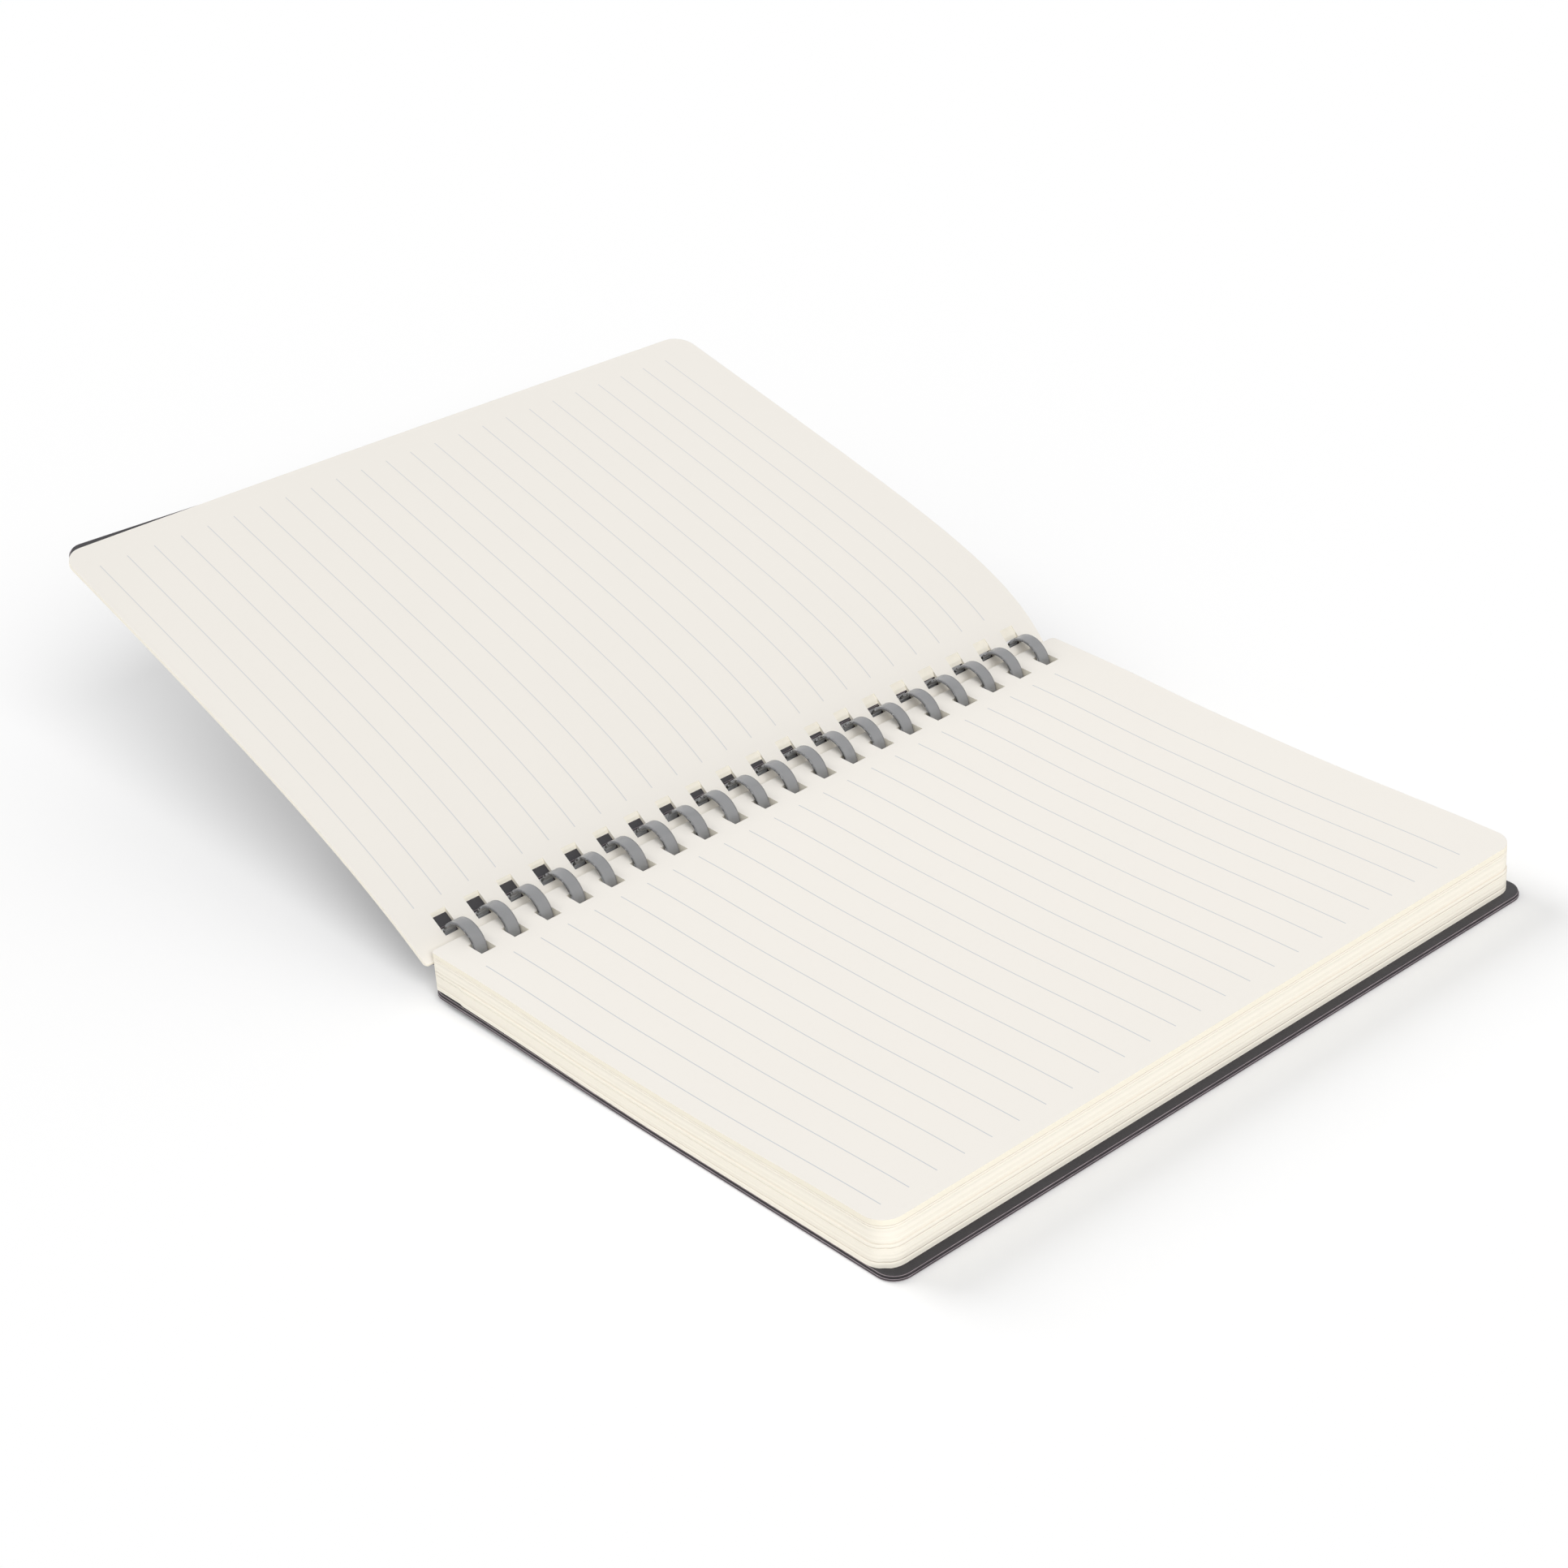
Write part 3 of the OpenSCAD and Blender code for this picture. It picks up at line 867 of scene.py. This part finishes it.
class NOTEBOOK_OT_turned_leaves(bpy.types.Operator):
    """Builds the turned leaves that lie on the front cover"""
    bl_idname = "notebook.turned_leaves"
    bl_label = "Turned Leaves"

    def execute(self, context):
        book = context.scene.notebook
        form, p, s, rules = Form(book), book.sheets, book.slots, book.rules
        shift = book.raised.leaf_shift
        slots_end = s.page_margin + s.width
        outline = (0.0, p.width, p.height, p.bound_corner, p.corner)
        bm = flat_sheet(*outline, p.leaves, s.page_margin, s.width, form.slot_l,
                        [y + shift for y in form.ring_ys],
                        columns_for(slots_end + p.opened, p.width, RAISED_BENDS), True)
        layers = layers_of(p.leaves, 0.8 * p.layer, p.ragged, LEAVES_SEED)
        layer_edges(bm, layers, outline)
        place_leaf_slots(bm, book, form, layers[0][0])
        slot_walls(bm, s.page_margin, slots_end + p.opened, p.height)
        bend(bm, lambda x, y, depth: form.in_raised_half(x, y, depth, -shift),
             (0.0, shift - p.height / 2))
        ruling = (rules.left_from, rules.left_to, rules.left_ink)
        finished(bm, "leaf_stack", stack_finishes(book, "left", "leaves", ruling),
                 "front", "turned_leaves", "paper")
        return {"FINISHED"}


# Covers

class Board:
    """One of a cover's two layers: the lining inside or the skin outside."""

    def __init__(self, covers, inner):
        self.inner = inner
        self.step = covers.step if inner else 0.0
        self.depth = 0.0 if inner else covers.lining
        self.thickness = covers.lining if inner else covers.skin
        # Depth above which the rims are painted with a highlight
        self.highlight_above = self.thickness / 2 if inner else self.thickness
        self.slot = "cover_lining" if inner else "cover_skin"

    def finishes(self, book, name):
        """The layer's finishes, in the order of its material numbers."""
        shades = book.colours
        if self.inner:
            face = cover_cloth(name + "_face", shades.lining, grain=0.35, rough=0.5)
            highlight_below = None
        else:
            face = cover_cloth(name + "_face", shades.skin, grain=0.8, rough=0.48)
            # The skin's edge gets a painted highlight along its lower rounding; the third finish
            # paints the whole rounded rim with it
            highlight_below = 0.7 * self.thickness
        return [face, board_edge(book, name + "_edge", shades.rim, highlight_below),
                board_edge(book, name + "_worn", shades.rim_highlight)]


class NOTEBOOK_OT_back_cover(bpy.types.Operator):
    """Builds the back cover's skin and lining on the table"""
    bl_idname = "notebook.back_cover"
    bl_label = "Back Cover"

    def execute(self, context):
        book = context.scene.notebook
        form, c, s = Form(book), book.covers, book.slots
        height, end = book.sheets.height, form.fore_x + c.overhang
        for inner in (True, False):
            board = Board(c, inner)
            step, corner = board.step, c.corner - board.step
            bm = flat_sheet(form.cover_x + step, end - step, height + 2 * (c.side - step),
                            corner, corner, board.thickness, form.cover_slot, s.width,
                            form.slot_l, form.ring_ys,
                            columns_for(form.cover_slot + s.width, form.lift_to, LYING_BENDS),
                            False)
            rounded_rims(bm, c.rim, board.highlight_above)
            bend(bm, lambda x, y, depth: form.in_back_cover(x, y, depth + board.depth))
            name = "back_cover_inside" if inner else "back_cover_outside"
            node = "back_cover_lining" if inner else "back_cover_skin"
            finished(bm, name, board.finishes(book, name), "book", node, board.slot)
        return {"FINISHED"}


class NOTEBOOK_OT_front_cover(bpy.types.Operator):
    """Builds the front cover's lining and skin under the turned leaves"""
    bl_idname = "notebook.front_cover"
    bl_label = "Front Cover"

    def execute(self, context):
        book = context.scene.notebook
        form, p, c, s = Form(book), book.sheets, book.covers, book.slots
        shift = c.shift - book.raised.leaf_shift
        wall = s.page_margin + form.reach(form.front_low) - form.reach(form.leaf_drop)
        askew = (wall + s.width / 2) * math.tan(c.skew)
        for inner in (True, False):
            board = Board(c, inner)
            step, corner = board.step, c.corner - board.step
            low = p.leaves + board.depth
            end = p.width + c.front_reach - step
            bm = flat_sheet(wall - s.cover_margin + step, end,
                            p.height + 2 * (c.front_side - step), corner, corner,
                            board.thickness, wall, s.width, form.slot_l,
                            [y - shift - askew for y in form.ring_ys],
                            columns_for(wall + s.width, end, RAISED_BENDS), True)
            rounded_rims(bm, c.rim, board.highlight_above)
            for vert in bm.verts:
                vert.co.x -= c.front_taper * form.along(vert.co.y) * (vert.co.x / end) ** 2
            bend(bm, lambda x, y, depth: form.in_raised_half(x, y, depth + low, shift, c.skew,
                                                             c.sag))
            name = "front_cover_inside" if inner else "front_cover_outside"
            node = "front_cover_lining" if inner else "front_cover_skin"
            finished(bm, name, board.finishes(book, name), "front", node, board.slot)
        return {"FINISHED"}


# Comb

# Widths of a band's last cross-sections, as parts of its own
TIP_WIDTHS = (0.86, 0.7)


def station(angle, centre, inset):
    """Place of a band's cross-section on the circle round a height over the table."""
    return (Matrix.Translation((0, 0, centre)) @ Matrix.Rotation(-angle, 4, "Y")
            @ Matrix.Translation((-inset, 0, 0)))


def band_path(form, sizes):
    """Stations of a band from the strip up, over the arch, and down to its tip."""
    rear, arch, fore = 10, 36, 16
    start = sizes.strip_mid - sizes.strip_half
    path = [(start + (math.pi - start) * i / rear, form.foot_z, 0.0)
            for i in range(1, rear + 1)]
    path += [(math.pi * (1 - i / arch), form.arch_z, 0.0) for i in range(arch + 1)]
    for i in range(fore + 1):
        angle = 2 * math.pi + (sizes.tip_to - 2 * math.pi) * i / fore
        path.append((angle, form.foot_z, form.tip_inset(angle)))
    return path


def curl_bands(bm, faces, form, sizes):
    """Extrudes the bands from the strip's edge along their path."""
    path = band_path(form, sizes)
    widths = [1.0] * (len(path) - len(TIP_WIDTHS)) + list(TIP_WIDTHS)
    last = station(sizes.strip_mid - sizes.strip_half, form.foot_z, 0)
    for (angle, centre, inset), width in zip(path, widths):
        now = station(angle, centre, inset)
        made = bmesh.ops.extrude_face_region(bm, geom=faces)
        faces = [f for f in made["geom"] if isinstance(f, bmesh.types.BMFace)]
        verts = {v for f in faces for v in f.verts}
        bmesh.ops.transform(bm, matrix=now @ last.inverted(), verts=list(verts))
        if width < 1.0:
            for face in faces:
                middle = face.calc_center_median().y
                for vert in face.verts:
                    vert.co.y = middle + (vert.co.y - middle) * width
        last = now


class NOTEBOOK_OT_comb(bpy.types.Operator):
    """Builds the comb: a spine strip with a curled band for each slot"""
    bl_idname = "notebook.comb"
    bl_label = "Comb"

    def execute(self, context):
        book = context.scene.notebook
        form, b = Form(book), book.comb
        strip_steps, sharp = 14, 50
        half = ((b.count - 1) * b.pitch + b.band) / 2 + b.strip_end
        bm = bmesh.new()
        bm.faces.new([bm.verts.new((r, y, 0)) for r, y in
                      ((form.bore_r, -half), (form.ring_r, -half),
                       (form.ring_r, half), (form.bore_r, half))])
        for y in form.ring_ys:
            for side in (-1, 1):
                cut(bm, (0, y + side * b.band / 2, 0), (0, 1, 0))
        first = station(b.strip_mid + b.strip_half, form.foot_z, 0)
        bmesh.ops.transform(bm, matrix=first, verts=bm.verts[:])
        made = bmesh.ops.spin(bm, geom=bm.faces[:] + bm.edges[:] + bm.verts[:],
                              cent=(0, 0, form.foot_z), axis=(0, 1, 0),
                              angle=2 * b.strip_half, steps=strip_steps)
        ends = [f for f in made["geom_last"] if isinstance(f, bmesh.types.BMFace)]
        faces = [f for f in ends if any(abs(f.calc_center_median().y - y) < b.band / 2
                                        for y in form.ring_ys)]
        curl_bands(bm, faces, form, b)
        bmesh.ops.recalc_face_normals(bm, faces=bm.faces[:])
        bmesh.ops.translate(bm, verts=bm.verts[:], vec=(-form.rest_x, 0, 0))
        piece = finished(bm, "comb", [comb_plastic(book, "comb_plastic")], "book",
                         "comb_binding", "comb_plastic", sharp)
        soft = piece.modifiers.new("rounded edges", "BEVEL")
        soft.width = b.rounding
        soft.segments = 3
        soft.limit_method = "ANGLE"
        soft.angle_limit = math.radians(sharp)
        return {"FINISHED"}


# Stage

def floor_finish(book):
    """White matt floor with a little glow that only the camera sees."""
    look = new_look("floor_white")
    seen = look.node("ShaderNodeLightPath")["Is Camera Ray"]
    plain = look.node("ShaderNodeBsdfDiffuse", {}, {"Color": tuple(book.colours.floor)})
    glow = look.node("ShaderNodeEmission", {}, {
        "Color": (1, 1, 1), "Strength": seen * book.stage.glow})
    both = look.node("ShaderNodeAddShader", {}, {0: plain["BSDF"], 1: glow["Emission"]})
    look.node("ShaderNodeOutputMaterial", {}, {"Surface": both["Shader"]})
    return look.data


def light_room(scene, sky):
    """White room that is seen in full but lights the book softly."""
    scene.world = bpy.data.worlds.new("room")
    look = Look(scene.world)
    path = look.node("ShaderNodeLightPath")
    seen = (path["Is Camera Ray"] + path["Is Glossy Ray"] + path["Is Transmission Ray"]).held()
    room = look.node("ShaderNodeBackground", {}, {
        "Color": (1, 1, 1), "Strength": sky + (1 - sky) * seen})
    look.node("ShaderNodeOutputWorld", {}, {"Surface": room["Background"]})


class NOTEBOOK_OT_stage(bpy.types.Operator):
    """Builds the floor, the lights and the camera"""
    bl_idname = "notebook.stage"
    bl_label = "Stage"

    def execute(self, context):
        scene = context.scene
        stage = scene.notebook.stage
        half, below = 4.0, 0.0002
        bm = bmesh.new()
        bmesh.ops.create_grid(bm, x_segments=1, y_segments=1, size=half)
        bmesh.ops.translate(bm, verts=bm.verts[:], vec=(0, 0, -below))
        mesh = bpy.data.meshes.new("floor")
        bm.to_mesh(mesh)
        bm.free()
        floor = bpy.data.objects.new("floor", mesh)
        scene.collection.objects.link(floor)
        mesh.materials.append(floor_finish(scene.notebook))
        light_room(scene, stage.sky)
        for name, power, way, size in (
                ("window", stage.sun, stage.sun_from, stage.sun_size),
                ("reflector", stage.fill, stage.fill_from, stage.fill_size)):
            lamp = bpy.data.lights.new(name, "SUN")
            lamp.energy = power
            lamp.angle = size
            light = bpy.data.objects.new(name, lamp)
            light.rotation_euler = Vector(way).to_track_quat("Z", "Y").to_euler()
            scene.collection.objects.link(light)
        camera = bpy.data.objects.new("camera", bpy.data.cameras.new("camera"))
        camera.location = stage.camera
        camera.rotation_euler = stage.turn
        camera.data.sensor_fit = "HORIZONTAL"
        camera.data.sensor_width = 36.0
        camera.data.lens = stage.lens
        camera.data.clip_end = 20.0
        scene.collection.objects.link(camera)
        scene.camera = camera
        scene.view_settings.view_transform = "Standard"
        return {"FINISHED"}


class NOTEBOOK_PT_panel(bpy.types.Panel):
    """Lists the notebook's operators in the sidebar"""
    bl_idname = "NOTEBOOK_PT_panel"
    bl_label = "Notebook"
    bl_space_type = "VIEW_3D"
    bl_region_type = "UI"
    bl_category = "Notebook"

    def draw(self, context):
        for operator in OPERATORS:
            self.layout.operator(operator.bl_idname)


GROUPS = (SheetSizes, RuleSizes, CoverSizes, CombSizes, SlotSizes, RaisedSizes, Colours,
          StageSettings, Notebook)
OPERATORS = (NOTEBOOK_OT_stage, NOTEBOOK_OT_page_block, NOTEBOOK_OT_turned_leaves,
             NOTEBOOK_OT_back_cover, NOTEBOOK_OT_front_cover, NOTEBOOK_OT_comb)


def register():
    for cls in GROUPS + OPERATORS + (NOTEBOOK_PT_panel,):
        bpy.utils.register_class(cls)
    bpy.types.Scene.notebook = PointerProperty(type=Notebook, name="Notebook",
                                               description="Sizes, colours and stage")


def unregister():
    del bpy.types.Scene.notebook
    for cls in reversed(GROUPS + OPERATORS + (NOTEBOOK_PT_panel,)):
        bpy.utils.unregister_class(cls)


def main():
    register()
    bpy.ops.notebook.stage()
    bpy.ops.notebook.page_block()
    bpy.ops.notebook.turned_leaves()
    bpy.ops.notebook.back_cover()
    bpy.ops.notebook.front_cover()
    bpy.ops.notebook.comb()


if __name__ == "__main__":
    main()
